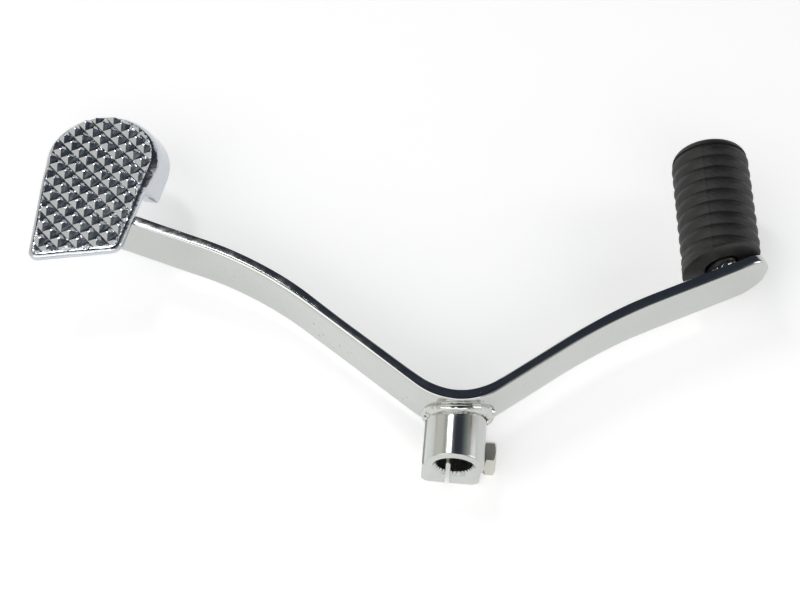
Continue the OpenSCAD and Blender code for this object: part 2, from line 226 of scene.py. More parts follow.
stations = np.unique(np.concatenate([
    EDGE * (1 - np.cos(np.linspace(0, np.pi / 2, 8))), np.linspace(EDGE, BAR_LENGTH - 12, 330),
    BAR_LENGTH - np.linspace(12, EDGE, 50),
    BAR_LENGTH - EDGE * (1 - np.cos(np.linspace(np.pi / 2, 0, 8)))]))
to_tip = np.clip(BAR_LENGTH - stations, 0, TIP_RADIUS)
half_height = (BAR_WIDTH / 2 - TIP_RADIUS
               + np.sqrt(np.maximum(TIP_RADIUS**2 - (TIP_RADIUS - to_tip) ** 2, 0)))
half_height = np.maximum(half_height, EDGE + 0.25)
inset = np.maximum(end_inset(stations), end_inset(BAR_LENGTH - stations))
limit = np.maximum(half_height - 0.5, EDGE)
worn_in, worn_out = (np.minimum(edge(stations), limit)[:, None]
                     for edge in (inner_edge, outer_edge))
across, up, cos_part, sin_part = rounded_loop(9)
wall = (BAR_THICKNESS / 2 - inset)[:, None]
tall = (half_height - inset)[:, None]
worn = np.where(across < 0, worn_in, worn_out)
radius = np.where(up == 1, worn, EDGE)
out = BAR_THICKNESS / 2 + across * (wall - radius) + cos_part * radius
rise = up * (tall - radius) + sin_part * radius
share_up = (up + 1) / 2
between_corners = np.abs(up) < 1
side_rise = (tall - worn) * share_up - (tall - EDGE) * (1 - share_up)
rise = BAR_RISE + np.where(between_corners, side_rise, rise)
uneven = 0.05 * lumps(stations[:, None] / 9, rise / 7, ROLLED_WAVES, 3)
out = out + uneven * np.abs(cos_part) * np.sign(cos_part)
bar = tube("bent_bar", on_bar(stations[:, None], out, rise))

# %% [markdown]
# ## The clamp boss
# The boss is a short forging: round above, a square lug below, a serrated bore and a slit that
# closes when the bolt is tightened. Seen along the spindle it is one closed strip that starts at
# the slit, runs round the outside and comes back round the bore. That outline is carried along
# the spindle with a soft edge at each end. The bolt holes are cut afterwards with a boolean,
# because they cross the strip from side to side.

# %% Boss outline
BOSS_RADIUS, BOSS_LENGTH = 9.4, 15.3
TOOTH_TIP, TOOTH_DEPTH, TEETH = 5.6, 0.55, 30
SLIT_X, SLIT_HALF = -1.6, 0.7
LUG_LEFT, LUG_RIGHT = -9.9, 8.6
BOLT_DIAMETER, THREAD_GAP, PLAIN_GAP = 6.0, 0.05, 0.3
BORE_CLEARANCE, LUG_WALL = 0.1, 1.1
BOLT_DROP = TOOTH_TIP + BORE_CLEARANCE + BOLT_DIAMETER / 2 - THREAD_GAP
LUG_DROP = BOLT_DROP + BOLT_DIAMETER / 2 + LUG_WALL
LUG_CORNER, LUG_BEVEL = 2.5, 1.2


def outer_reach(angle, inset):
    """Distance from the bore axis to the outside: the farther of the round and the lug box.

    The lug's left corner is a quarter circle and its right corner a straight bevel.
    """
    c, s = np.cos(angle), np.sin(angle)
    left, right, drop = LUG_LEFT + inset, LUG_RIGHT - inset, LUG_DROP - inset
    with np.errstate(divide="ignore", invalid="ignore"):
        to_side = np.where(c > 0, right / c, np.where(c < 0, left / c, np.inf))
        to_floor = np.where(s < 0, -drop / s, np.inf)
        box = np.minimum(to_side, to_floor)
        bevel_sum = right + drop - LUG_BEVEL * np.sqrt(2)
        bevel = np.where(c - s > 0, bevel_sum / (c - s), np.inf)
        box = np.where(c > 0, np.minimum(box, bevel), box)
    round_at = np.array([left + LUG_CORNER, -drop + LUG_CORNER])
    along = c * round_at[0] + s * round_at[1]
    under = along**2 - (round_at @ round_at - LUG_CORNER**2)
    corner = along + np.sqrt(np.maximum(under, 0))
    x, z = box * c, box * s
    in_corner = (x < round_at[0]) & (z < round_at[1]) & (under > 0)
    box = np.where(in_corner, np.minimum(corner, box), box)
    box = np.where(s < 0, box, 0)
    return np.maximum(box, BOSS_RADIUS - inset)


def inner_reach(angle, spread):
    """Distance to the serrated bore: a triangle wave between tooth tips and groove bottoms."""
    phase = (angle / (2 * np.pi) * TEETH) % 1
    groove = np.maximum(0, 1 - np.abs(phase - 0.5) / 0.25)
    return np.maximum(TOOTH_TIP + TOOTH_DEPTH * groove, TOOTH_TIP + spread)


def strip_points(share, inset, inner):
    """Points round the boss from the slit's right wall to its left wall.

    The end angles are those where a circle of the local reach crosses the slit's two walls.
    """
    angle = np.radians(-90 + 360 * share)
    for _ in range(6):
        reach = inner_reach(angle, inset) if inner else outer_reach(angle, inset)
        gap = 0 if inner else inset
        start = np.arcsin(np.clip((SLIT_X + SLIT_HALF + gap) / reach, -1, 1)) - np.pi / 2
        stop = np.arcsin(np.clip((SLIT_X - SLIT_HALF - gap) / reach, -1, 1)) + 3 * np.pi / 2
        angle = start + (stop - start) * share
    reach = inner_reach(angle, inset) if inner else outer_reach(angle, inset)
    return np.stack([reach * np.cos(angle), reach * np.sin(angle)], -1)


# %% Carry the boss along the spindle
SOFT_EDGE, MOUTH = 0.5, 0.6
share = np.linspace(0, 1, TEETH * 20 + 1)


def boss_ring(y, edge, mouth):
    """One closed outline of the boss at depth y, drawn in by its edge and mouth bevels."""
    outside = strip_points(share, edge, False)
    inside = strip_points(share, mouth, True)[::-1]
    flat = np.vstack([outside, inside])
    return np.stack([flat[:, 0], np.full(len(flat), y), flat[:, 1]], -1)


turn = np.linspace(0, np.pi / 2, 7)
mouth_depth = MOUTH + TOOTH_DEPTH
depths = np.concatenate([SOFT_EDGE * (1 - np.cos(turn)), np.linspace(0.65, mouth_depth, 4),
                         np.linspace(1.8, BOSS_LENGTH, 12)])
edge_draw = SOFT_EDGE - np.sqrt(SOFT_EDGE**2 - (SOFT_EDGE - np.clip(depths, 0, SOFT_EDGE)) ** 2)
mouth_draw = np.maximum(mouth_depth - depths, 0)
rings = np.stack([boss_ring(d - BOSS_BACK, e, m)
                  for d, e, m in zip(depths, edge_draw, mouth_draw)])


def strip_solid(name, rings):
    """Closed solid from equal outlines; quads across the strip from outside to bore shut it."""
    rows, columns = rings.shape[:2]
    k = np.arange(columns // 2 - 1)
    across = np.stack([k, k + 1, columns - 2 - k, columns - 1 - k], 1)
    far = across[:, ::-1] + (rows - 1) * columns
    return build_mesh(name, rings.reshape(-1, 3), [grid_faces(rows, columns), across, far])


boss = strip_solid("split_boss", rings)

# %% Drill the bolt holes
PLAIN_HOLE = BOLT_DIAMETER / 2 - THREAD_GAP + PLAIN_GAP


def bolt_rod(x_values, radii, sides=72):
    """Turned shape about the bolt axis: one ring of the given radius at each x."""
    angle = np.arange(sides) / sides * 2 * np.pi
    x = np.asarray(x_values, float)[:, None]
    r = np.asarray(radii, float)[:, None]
    return np.stack(np.broadcast_arrays(x, r * np.cos(angle), r * np.sin(angle) - BOLT_DROP), -1)


def drill(piece, cutter):
    """Takes the cutter's volume out of the piece for good, then shades by angle again."""
    step = piece.modifiers.new("drill", "BOOLEAN")
    step.operation, step.object, step.solver = "DIFFERENCE", cutter, "EXACT"
    bpy.context.view_layer.update()
    done = piece.evaluated_get(bpy.context.evaluated_depsgraph_get())
    mesh = bpy.data.meshes.new_from_object(done)
    piece.modifiers.clear()
    piece.data = mesh
    mesh.shade_smooth()
    mesh.set_sharp_from_angle(angle=np.radians(30))
    bpy.data.objects.remove(cutter)


sink = 0.35  # the countersink that takes the burr off each hole
drill(boss, tube("left_drill", bolt_rod(
    [LUG_LEFT - 2, LUG_LEFT - 0.01, LUG_LEFT + sink, SLIT_X],
    [BOLT_DIAMETER / 2 + sink, BOLT_DIAMETER / 2 + sink, BOLT_DIAMETER / 2, BOLT_DIAMETER / 2])))
drill(boss, tube("right_drill", bolt_rod([SLIT_X, LUG_RIGHT + 2], [PLAIN_HOLE, PLAIN_HOLE])))
print("boss after drilling:", len(boss.data.polygons), "faces")

# %% [markdown]
# ## Weld beads
# A bead of weld lies in the corner between two walls. Its section is a blob about the corner,
# larger where it shows than where it is buried. Carried along the corner with a slow ripple for
# each step of the rod and finer lumps on top, it gives the sparkling, uneven look of plated weld.

# %% Beads in corners
BEAD_WAVES = [(1, 0.8, 2), (0.9, 1.7, -3), (0.8, 2.9, 4), (0.6, 4.3, 1)]  # strength and two paces


def weld_bead(name, path, side_a, side_b, legs, seed, ripple=9.0, pits=(), rough=0.16):
    """Lumpy tube: at each path point a section spanned by two wall directions.

    The radius blends from the buried size to the legs' size across the open quarter.
    """
    count = len(path)
    along = np.linspace(0, 1, count)[:, None]
    angle = (np.arange(44) / 44 * 2 * np.pi)[None, :]
    legs = np.broadcast_to(np.asarray(legs, float), (count, 2))
    reach = 1 / np.sqrt((np.cos(angle) / legs[:, :1]) ** 2 + (np.sin(angle) / legs[:, 1:]) ** 2)
    open_side = 0.5 + 0.5 * np.cos(angle - np.pi / 4)
    radius = reach * (0.3 + 0.7 * open_side**1.5)
    steps = np.abs(np.sin(along * np.pi * ripple + 0.6 * np.cos(angle))) ** 0.7
    bumps = lumps(along * 40, angle, BEAD_WAVES, seed)
    radius = radius * (0.9 + rough * steps + rough * bumps)
    for at, around, width, depth in pits:
        near = ((along - at) / width) ** 2 + ((angle - around) / 0.34) ** 2
        radius = radius * (1 - depth * np.exp(-near))
    taper = np.sqrt(np.clip(np.minimum(along, 1 - along) * 14, 0.02, 1))
    radius = radius * taper
    section = (radius * np.cos(angle))[..., None] * side_a[:, None, :] \
        + (radius * np.sin(angle))[..., None] * side_b[:, None, :]
    return tube(name, path[:, None, :] + section, smooth_angle=50)


def unit(v):
    """Each vector divided by its own length."""
    return v / np.linalg.norm(v, axis=-1, keepdims=True)


RING_POINTS, FOOT_POINTS = 220, 120
round_angle = np.radians(np.linspace(-27, 207, RING_POINTS))
ring_x, ring_z = BOSS_RADIUS * np.cos(round_angle), BOSS_RADIUS * np.sin(round_angle)
ring_path = np.stack([ring_x, np.interp(ring_x, PLACE[:, 0], PLACE[:, 1]), ring_z], -1)
outward = np.stack([np.cos(round_angle), 0 * round_angle, np.sin(round_angle)], -1)
on_face = unit(outward + np.array([0, 1, 0]) * (outward[:, 0]
               * np.tan(np.interp(ring_x, PLACE[:, 0], HEADING)))[:, None])
toward_mouth = np.tile([0, -1.0, 0], (RING_POINTS, 1))
ring_legs = np.stack([np.full(RING_POINTS, 2.5), 2.0 + 0.7 * np.cos(round_angle) ** 2], -1)
ring_share = np.arange(RING_POINTS) / (RING_POINTS - 1)
ring_rough = 0.04 + 0.30 * (1 - smoothstep(ring_share, 0.12, 0.34))[:, None]
ring_weld = weld_bead("ring_weld", ring_path, on_face, toward_mouth, ring_legs, 11, ripple=13,
                      pits=[(0.80, 1.15, 0.026, 0.9), (0.87, 1.25, 0.026, 0.9),
                            (0.12, 0.9, 0.012, 0.4)], rough=ring_rough)

foot_x = np.linspace(LUG_LEFT + 2.0, LUG_RIGHT - 1.0, FOOT_POINTS)
foot_path = np.stack([foot_x, np.full(FOOT_POINTS, BOSS_LENGTH - BOSS_BACK),
                      np.full(FOOT_POINTS, BAR_RISE - BAR_WIDTH / 2)], -1)
foot_weld = weld_bead("foot_weld", foot_path, np.tile([0, 1.0, 0], (FOOT_POINTS, 1)),
                      np.tile([0, 0, -1.0], (FOOT_POINTS, 1)), (2.0, 2.0), 12, ripple=8)

# %% [markdown]
# ## Pinch bolt and spring washer
# An M6 bolt has a hexagon head whose corners are turned off at an angle, so each flat ends in an
# arc. Taking the smaller of a hexagon and a cone at every height gives exactly that. The thread is
# a triangle wave that advances one pitch for each turn round the shank.

# %% Bolt and washer
ACROSS_FLATS, HEAD_HEIGHT, BOLT_LENGTH, PITCH = 10.0, 3.4, 18.0, 1.0
WASHER_THICKNESS, THREAD_DEPTH, POINT = 1.2, 0.4, 0.8
HEAD_SEAT = LUG_RIGHT + WASHER_THICKNESS


def bolt_shape(sides=180):
    """Rings from the point to the top of the head, hexagon and cone mixed by their minimum."""
    angle = np.arange(sides) / sides * 2 * np.pi
    hexagon = ACROSS_FLATS / 2 / np.cos((angle - np.pi / 3) % (np.pi / 3) - np.pi / 6)
    shank_x = np.arange(-BOLT_LENGTH, -0.02, 0.09)[:, None]
    phase = (shank_x / PITCH - angle / (2 * np.pi)) % 1
    thread = (BOLT_DIAMETER / 2 - THREAD_GAP
              - THREAD_DEPTH * np.clip(2.4 * np.abs(phase - 0.5), 0, 1))
    chamfer = BOLT_DIAMETER / 2 - POINT + (shank_x + BOLT_LENGTH) * 1.1
    neck = smoothstep(shank_x, -4.2, -3.6) * (BOLT_DIAMETER / 2 - THREAD_GAP - thread)
    shank = np.minimum(thread + neck, chamfer)
    corner = ACROSS_FLATS / np.sqrt(3)
    head_x = np.concatenate([[0, 0.12, 0.3], np.linspace(0.6, HEAD_HEIGHT - 1.0, 5),
                             HEAD_HEIGHT - 0.9 + 0.8 * np.linspace(0.1, 1, 8),
                             [HEAD_HEIGHT - 0.02]])
    low_cone = corner - 0.55 + 2 * head_x
    high_cone = corner + (HEAD_HEIGHT - 0.75 - head_x) * 1.75
    head = np.minimum(hexagon, np.minimum(low_cone, high_cone)[:, None])
    dish_x = np.array([HEAD_HEIGHT, HEAD_HEIGHT - 0.05, HEAD_HEIGHT - 0.28, HEAD_HEIGHT - 0.3])
    dish = np.array([3.9, 3.55, 3.2, 1.5])[:, None] * np.ones(sides)
    x = np.concatenate([shank_x[:, 0], head_x, dish_x]) + HEAD_SEAT
    radius = np.vstack([shank, head, dish])
    return np.stack(np.broadcast_arrays(x[:, None], radius * np.cos(angle),
                                        radius * np.sin(angle) - BOLT_DROP), -1)


bolt = tube("hexagon_bolt", bolt_shape(), smooth_angle=24)


def washer_shape(inner=3.1, outer=4.75, gap_degrees=14, steps=150, soft=0.22):
    """A rounded square section carried round most of a circle, its ends a little apart in x."""
    turns = np.radians(25 + np.linspace(gap_degrees / 2, 360 - gap_degrees / 2, steps))[:, None]
    sx, sz, cx, cz = rounded_loop(4, 3)
    mid, half = (inner + outer) / 2, (outer - inner) / 2
    radius = mid + sx * (half - soft) + cx * soft
    x = WASHER_THICKNESS / 2 + sz * (WASHER_THICKNESS / 2 - soft) + cz * soft
    return np.stack([LUG_RIGHT + x + 0 * turns, radius * np.cos(turns),
                     radius * np.sin(turns) - BOLT_DROP], -1)


washer = tube("split_washer", washer_shape())

# %% [markdown]
# ## The toe rubber
# The peg cover is a moulded sleeve with rounded ribs, pushed over the steel stem. It is a turned
# shape, so each point is given by its distance down the axis and its angle round it. The foot is
# cut along a slope, and the mould leaves a fine seam along one side. Small random dents keep the
# ribs from looking machined. The same profile then runs back up the inside, round the stem.

# %% Rubber sleeve
PEG_BACK, PEG_LEAN, PEG_TILT, FOOT_GAP, FOOT_SLOPE = 15.9, 3.4, 4.0, 4.0, 17.0
RUBBER_RADIUS, GROOVE, RIBS, RUBBER_LENGTH, CAP = 13.1, 0.9, 9, 44.5, 3.0
STEM_RADIUS = 5.0
toe_heading = HEADING[-1]
toe_along = np.array([np.cos(toe_heading), np.sin(toe_heading)])
toe_out = np.array([-np.sin(toe_heading), np.cos(toe_heading)])
PEG_FOOT = np.append(TOE_TIP - PEG_BACK * toe_along + BAR_THICKNESS * toe_out, BAR_RISE + 2.4)
peg_turn = np.array(Matrix.Rotation(np.radians(PEG_LEAN), 3, "Z")
                    @ Matrix.Rotation(np.radians(PEG_TILT), 3, "X"))
PEG_X, PEG_AXIS, PEG_Z = peg_turn.T


def rib_radius(down):
    """Radius of the sleeve at a distance below its end: a domed cap, then rounded ribs."""
    rib = (down - CAP) / ((RUBBER_LENGTH - CAP) / RIBS)
    wave = (0.5 - 0.5 * np.cos(2 * np.pi * rib)) ** 0.55
    body = RUBBER_RADIUS - GROOVE + GROOVE * wave
    foot = smoothstep(rib, RIBS - 0.5, RIBS + 0.1)
    body = body * (1 - foot) + (RUBBER_RADIUS + 0.1) * foot
    shoulder = 3.4
    dome = np.clip(down / shoulder, 0, 1)
    cap = RUBBER_RADIUS - 0.3 - shoulder * 0.85 * (1 - np.sqrt(1 - (1 - dome) ** 2))
    return np.where(down < CAP, np.minimum(cap, RUBBER_RADIUS - 0.3), np.minimum(body, cap + 0.4))


def rubber_shape(columns=200, rows=330):
    """Rings from the middle of the end, over the dome, down the ribs, and up the stem's hole."""
    angle = np.arange(columns) / columns * 2 * np.pi
    round_dir = np.cos(angle)[:, None] * PEG_X + np.sin(angle)[:, None] * PEG_Z
    slope = np.array([-np.sin(np.radians(FOOT_SLOPE)), np.cos(np.radians(FOOT_SLOPE)), 0])
    plane_at = PEG_FOOT + np.array([0, FOOT_GAP, 0])
    end = FOOT_GAP + RUBBER_LENGTH

    def reach_of_foot(radius):
        """Height on the axis where a line at this radius meets the sloping cut."""
        base = PEG_FOOT + radius * round_dir
        return ((plane_at - base) @ slope) / (PEG_AXIS @ slope)

    foot = reach_of_foot(RUBBER_RADIUS)
    share = np.linspace(0, 1, rows)[:, None]
    down = share * (end - foot)[None, :]
    radius = rib_radius(down)
    seam_at, nick_at = np.radians(118), np.radians(4)
    seam = 0.24 * np.exp(-((angle - seam_at) / 0.018) ** 2)
    dents = 0.07 * lumps(down * 0.9, angle * 3, [(1, 1, 2), (0.8, 2.3, -5), (0.6, 4.1, 9)], 5)
    turned = (angle - nick_at + np.pi) % (2 * np.pi) - np.pi
    nick = 1.3 * np.exp(-(turned / 0.16) ** 2 - ((down - 22.5) / 0.9) ** 2)
    radius = radius + (seam + dents) * smoothstep(down, 1.5, 4) - nick
    outside = PEG_FOOT + (end - down)[..., None] * PEG_AXIS + radius[..., None] * round_dir
    dish = np.array([0.12, 0.35, 0.6, 0.85, 0.97])[:, None]
    crown = radius[0] * dish
    lid = (PEG_FOOT + (end + 0.25 * (1 - dish**2))[..., None] * PEG_AXIS
           + crown[..., None] * round_dir)
    rings = [lid, outside]
    foot_rings = ((RUBBER_RADIUS - 0.9, -0.3), (RUBBER_RADIUS - 2.2, -0.35), (8.4, -0.3),
                  (5.8, -0.2))
    for r, lift in foot_rings:
        cut = reach_of_foot(r) + lift
        rings.append((PEG_FOOT + cut[:, None] * PEG_AXIS + r * round_dir)[None])
    for r, height in ((5.1, 7.0), (5.02, 7.4), (5.02, 20.0), (5.02, 34.0)):
        rings.append((PEG_FOOT + height * PEG_AXIS + r * round_dir)[None])
    return np.concatenate(rings)


rubber = tube("ribbed_sleeve", rubber_shape(), smooth_angle=60)

PEG_RING_POINTS = 150
peg_ring = np.linspace(0, 2 * np.pi, PEG_RING_POINTS)
toe_flat, straight_up = np.append(toe_along, 0), np.array([0, 0, 1.0])
around_peg = np.cos(peg_ring)[:, None] * toe_flat + np.sin(peg_ring)[:, None] * straight_up
peg_path = PEG_FOOT + STEM_RADIUS * around_peg
off_bar = np.tile(np.append(toe_out, 0), (PEG_RING_POINTS, 1))
peg_bead = weld_bead("peg_foot_weld", peg_path, around_peg, off_bar, (2.1, 1.9), 21, ripple=12)

# %% [markdown]
# ## The heel pad
# The pad is one pressing: a leaf-shaped plate whose round end is turned down into a skirt. Its
# outline is the tight band round three circles, so pulling every radius in by the same amount
# gives all the inner outlines too. A section is swept round it: rim, shoulder, outer wall, lip,
# inner wall and underside. The skirt's depth grows from nothing along the two sides.

# %% Pad outline
PAD_RADIUS, PAD_REACH, PAD_THICKNESS = 19.0, 40.0, 2.2
TREAD_HEIGHT, TREAD_PITCH, TREAD_RIM = 1.3, 4.4, 1.7
TREAD_TURN = 3.5
SKIRT_DEPTH, SKIRT_THICKNESS, SKIRT_FLARE = 6.0, 1.8, 3.6
PAD_UNDER = BAR_RISE + BAR_WIDTH / 2
PAD_TOP = PAD_UNDER + PAD_THICKNESS
PAD_CENTRE = HEEL_TIP + np.array([-4.3, 22.3])
REAR_CORNER, FRONT_CORNER = 3.4, 4.4  # radii of the two inner corners
PAD_CIRCLES = [(PAD_CENTRE, PAD_RADIUS),
               (PAD_CENTRE + np.array([-0.59 * PAD_RADIUS, -PAD_REACH]), REAR_CORNER),
               (PAD_CENTRE + np.array([0.58 * PAD_RADIUS, -0.85 * PAD_REACH]), FRONT_CORNER)]
FOOT_CIRCLES = [  # the same band at the foot of the skirt, standing out towards the lever
    (PAD_CENTRE + np.array([0.55 * SKIRT_FLARE, 0]), PAD_RADIUS + 0.45 * SKIRT_FLARE),
    PAD_CIRCLES[1], (PAD_CIRCLES[2][0] + np.array([SKIRT_FLARE, 0]), FRONT_CORNER)]
SKIRT_START = PAD_CENTRE[1] - 13.3


def band_angle(p, q):
    """Compass angle at which a tight band leaves circle p for circle q."""
    step = q[0] - p[0]
    return np.arctan2(step[1], step[0]) - np.arccos((p[1] - q[1]) / np.hypot(*step))


def pad_outline(inset, circles=PAD_CIRCLES, arc_counts=(150, 26, 30), side_count=60):
    """Points of the band round three circles, each drawn in by the inset."""
    pieces = []
    for i, (centre, radius) in enumerate(circles):
        a = band_angle(circles[i - 1], circles[i])
        b = band_angle(circles[i], circles[(i + 1) % 3])
        turn = np.linspace(a, a + (b - a) % (2 * np.pi), arc_counts[i])
        pieces.append(centre + (radius - inset) * np.stack([np.cos(turn), np.sin(turn)], -1))
    ends = [(pieces[i][-1], pieces[(i + 1) % 3][0]) for i in range(3)]
    share = np.linspace(0, 1, side_count + 2)[1:-1, None]
    sides = [start + (stop - start) * share for start, stop in ends]
    return np.vstack([p for pair in zip(pieces, sides) for p in pair])


rim_line = pad_outline(0)
pad_middle = rim_line.mean(0)
skirt_share = smoothstep(rim_line[:, 1], SKIRT_START - 0.3, SKIRT_START + 1.3)
shoulder = 1.6 + 0.9 * smoothstep(rim_line[:, 1], SKIRT_START + 1.5, SKIRT_START + 9)
skirt_low = PAD_UNDER + 0.05 - (SKIRT_DEPTH - 0.3) * skirt_share
print("pad outline:", len(rim_line), "points; skirt from y =", round(SKIRT_START, 1))

# %% Pad plate and skirt
one_mm = pad_outline(1.0) - rim_line
stand_out = pad_outline(0, FOOT_CIRCLES) - rim_line


def pad_ring(inset, height, flare=0.0):
    """Outline drawn in by an inset and flared by its depth below the plate's round edge."""
    inset = np.broadcast_to(inset, len(rim_line))
    height = np.broadcast_to(height, len(rim_line))
    down = flare * skirt_share * np.clip((PAD_TOP - 0.8 - height) / (SKIRT_DEPTH + 1.2), 0, 1)
    flat = rim_line + one_mm * inset[:, None] + stand_out * down[:, None]
    return np.column_stack([flat, height])


def pad_disc(share, inset, height):
    """Ring at the inset, shrunk towards the middle of the pad."""
    ring = pad_ring(inset, height)
    ring[:, :2] = pad_middle + (ring[:, :2] - pad_middle) * share
    return ring


lip = 0.4
pad_rings = [pad_disc(k, 2.6, PAD_TOP) for k in (0.15, 0.4, 0.65, 0.85, 1.0)]
for a in np.radians(np.linspace(0, 90, 9)):
    pad_rings.append(pad_ring(shoulder * (1 - np.sin(a)), PAD_TOP - shoulder * (1 - np.cos(a)), 1))
wall_top = PAD_TOP - shoulder
wall_low = np.minimum(skirt_low + lip, wall_top - 0.1)
for k in np.linspace(0.12, 1, 9):
    pad_rings.append(pad_ring(0, wall_top + (wall_low - wall_top) * k, 1))
for a in np.radians([22, 45, 68, 90]):
    pad_rings.append(pad_ring(lip * (1 - np.cos(a)), skirt_low + lip * (1 - np.sin(a)), 1))
for a in np.radians([0, 30, 60, 90]):
    pad_rings.append(pad_ring(SKIRT_THICKNESS - lip * (1 - np.sin(a)),
                              skirt_low + lip * (1 - np.cos(a))))
inner_low, inner_top = skirt_low + lip, np.full(len(rim_line), PAD_UNDER)
for k in (0.3, 0.6, 0.85, 1.0):
    inner_height = inner_low + (inner_top - 0.7 - inner_low) * k
    pad_rings.append(pad_ring(SKIRT_THICKNESS, np.maximum(inner_height, skirt_low + lip * 0.1)))
pad_rings.append(pad_ring(SKIRT_THICKNESS + 0.4, PAD_UNDER - 0.15 * skirt_share))
pad_rings += [pad_disc(k, 2.6, PAD_UNDER) for k in (1.0, 0.85, 0.6, 0.3)]
heel_plate = tube("heel_plate", np.stack(pad_rings), smooth_angle=40)

# %% [markdown]
# ## The tread
# Two families of V grooves cross on the slant and leave rows of pyramids. On a grid that is turned
# with the grooves, the height at a point falls with the larger of its two distances from the
# middle of its cell. The grid lines run through every peak and valley, and each little square is
# split along the diagonal that follows the pyramid's edge, so the facets stay flat and crisp.

# %% Pyramids
CELL_STEPS = 12
spacing = TREAD_PITCH / CELL_STEPS
lines = np.arange(-8 * CELL_STEPS, 8 * CELL_STEPS + 1)
along_a, along_b = np.meshgrid(lines, lines, indexing="ij")
origin = PAD_CENTRE - np.array([0, PAD_REACH / 2])
ROW_A, ROW_B = (np.array([np.cos(t), np.sin(t)])
                for t in np.radians([45 + TREAD_TURN, 135 + TREAD_TURN]))
ground = origin + spacing * (along_a[..., None] * ROW_A + along_b[..., None] * ROW_B)
outline_in = pad_outline(TREAD_RIM)
edge_dir = unit(np.roll(outline_in, -1, 0) - outline_in)
edge_in = np.stack([-edge_dir[:, 1], edge_dir[:, 0]], -1)


def depth_inside(points):
    """Distance to the nearest side of the convex outline, and that side's inward direction."""
    gaps = points.reshape(-1, 2) @ edge_in.T - (outline_in * edge_in).sum(1)
    nearest = gaps.argmin(1)
    shape = points.shape[:-1]
    return gaps.min(1).reshape(shape), edge_in[nearest].reshape(*shape, 2)


depth, inward = depth_inside(ground)
snapped = np.where((depth < 0)[..., None], ground - inward * depth[..., None], ground)
half_cell = CELL_STEPS / 2


def pyramid_height(points):
    """Height over the plate: flat valley floor, slanting facets and a slightly blunt peak."""
    local = (points - origin) / spacing
    a = local @ ROW_A % CELL_STEPS - half_cell
    b = local @ ROW_B % CELL_STEPS - half_cell
    far = np.maximum(np.abs(a), np.abs(b)) / half_cell
    return np.clip((1 - far) / (1 - 0.09), 0, 0.94) / 0.94 * TREAD_HEIGHT


height = pyramid_height(snapped) * smoothstep(depth, -0.05, 0.35) + 0.03
height = np.where(depth <= 0, -0.25, height)
i, j = (v.ravel() for v in np.meshgrid(np.arange(len(lines) - 1), np.arange(len(lines) - 1),
                                       indexing="ij"))
size = len(lines)
quad = np.stack([i * size + j, (i + 1) * size + j, (i + 1) * size + j + 1, i * size + j + 1], 1)
quad_kept = (depth.ravel()[quad] > 0).any(1)
cell_a, cell_b = i % CELL_STEPS - half_cell + 0.5, j % CELL_STEPS - half_cell + 0.5
rising = (cell_a * cell_b > 0)[quad_kept]
quad = quad[quad_kept]
tread_faces = np.vstack([quad[rising][:, [0, 1, 2]], quad[rising][:, [0, 2, 3]],
                         quad[~rising][:, [0, 1, 3]], quad[~rising][:, [1, 2, 3]]])
used, renumbered = np.unique(tread_faces, return_inverse=True)
tread_points = np.column_stack([snapped.reshape(-1, 2)[used], (PAD_TOP + height).ravel()[used]])
tread_faces = renumbered.reshape(-1, 3)
count = len(tread_points)
below = tread_points * [1, 1, 0] + [0, 0, PAD_TOP - 0.8]
edges = np.vstack([tread_faces[:, [0, 1]], tread_faces[:, [1, 2]], tread_faces[:, [2, 0]]])
edge_key = edges[:, 0] * count + edges[:, 1]
back_key = edges[:, 1] * count + edges[:, 0]
border = edges[~np.isin(edge_key, back_key)]
skirt_quads = np.stack([border[:, 1], border[:, 0], border[:, 0] + count, border[:, 1] + count], 1)
tread = build_mesh("pyramid_tread", np.vstack([tread_points, below]),
                   [tread_faces, tread_faces[:, ::-1] + count, skirt_quads], smooth_angle=0.5)

# %% Pad welds
PAD_BEAD_POINTS = 110
pad_weld_s = np.linspace(1.5, 9.0, PAD_BEAD_POINTS)
pad_beads = []
for label, out_at, sign, seed in (("inner", 0.0, -1, 31), ("outer", BAR_THICKNESS, 1, 32)):
    path = on_bar(pad_weld_s, out_at, PAD_UNDER)
    heading = np.interp(pad_weld_s, WALK, HEADING)
    away = sign * np.stack([-np.sin(heading), np.cos(heading), 0 * heading], -1)
    under = np.tile([0, 0, -1.0], (PAD_BEAD_POINTS, 1))
    pad_beads.append(weld_bead("pad_weld_" + label + "_bead", path, away, under, (2.2, 2.2), seed,
                               ripple=6, rough=0.06))
print("pad beads:", [bead.name for bead in pad_beads])

# %% [markdown]
# ## Finishes
# Chrome plate follows the steel under it, so a polished casting shows soft waves, fine polishing
# lines and a few pits. One node group works these out from the object's own coordinates. Each
# metal then uses it with its own strengths, and keeps its shader outside the group.

# %% Worn plating group
def new_group(name, inputs, outputs):
    """Empty shader group with float inputs (and their defaults) and typed outputs."""
    group = bpy.data.node_groups.new(name, "ShaderNodeTree")
    for label, value in inputs:
        socket = group.interface.new_socket(label, in_out="INPUT", socket_type="NodeSocketFloat")
        socket.default_value = value
    for label, kind in outputs:
        group.interface.new_socket(label, in_out="OUTPUT", socket_type=kind)
    return group, group.nodes.new("NodeGroupInput"), group.nodes.new("NodeGroupOutput")


def add(tree, kind, links=(), **values):
    """New node; values set attributes, and links join sockets or set their numbers."""
    node = tree.nodes.new(kind)
    for key, value in values.items():
        setattr(node, key, value)
    for socket, source in links:
        if hasattr(source, "is_output"):
            tree.links.new(source, node.inputs[socket])
        else:
            node.inputs[socket].default_value = source
    return node


def noise(tree, vector, scale, detail=3.0, rough=0.55):
    """Cloudy value between 0 and 1 at each place."""
    return add(tree, "ShaderNodeTexNoise", [("Vector", vector), ("Scale", scale),
                                            ("Detail", detail), ("Roughness", rough)]).outputs[0]


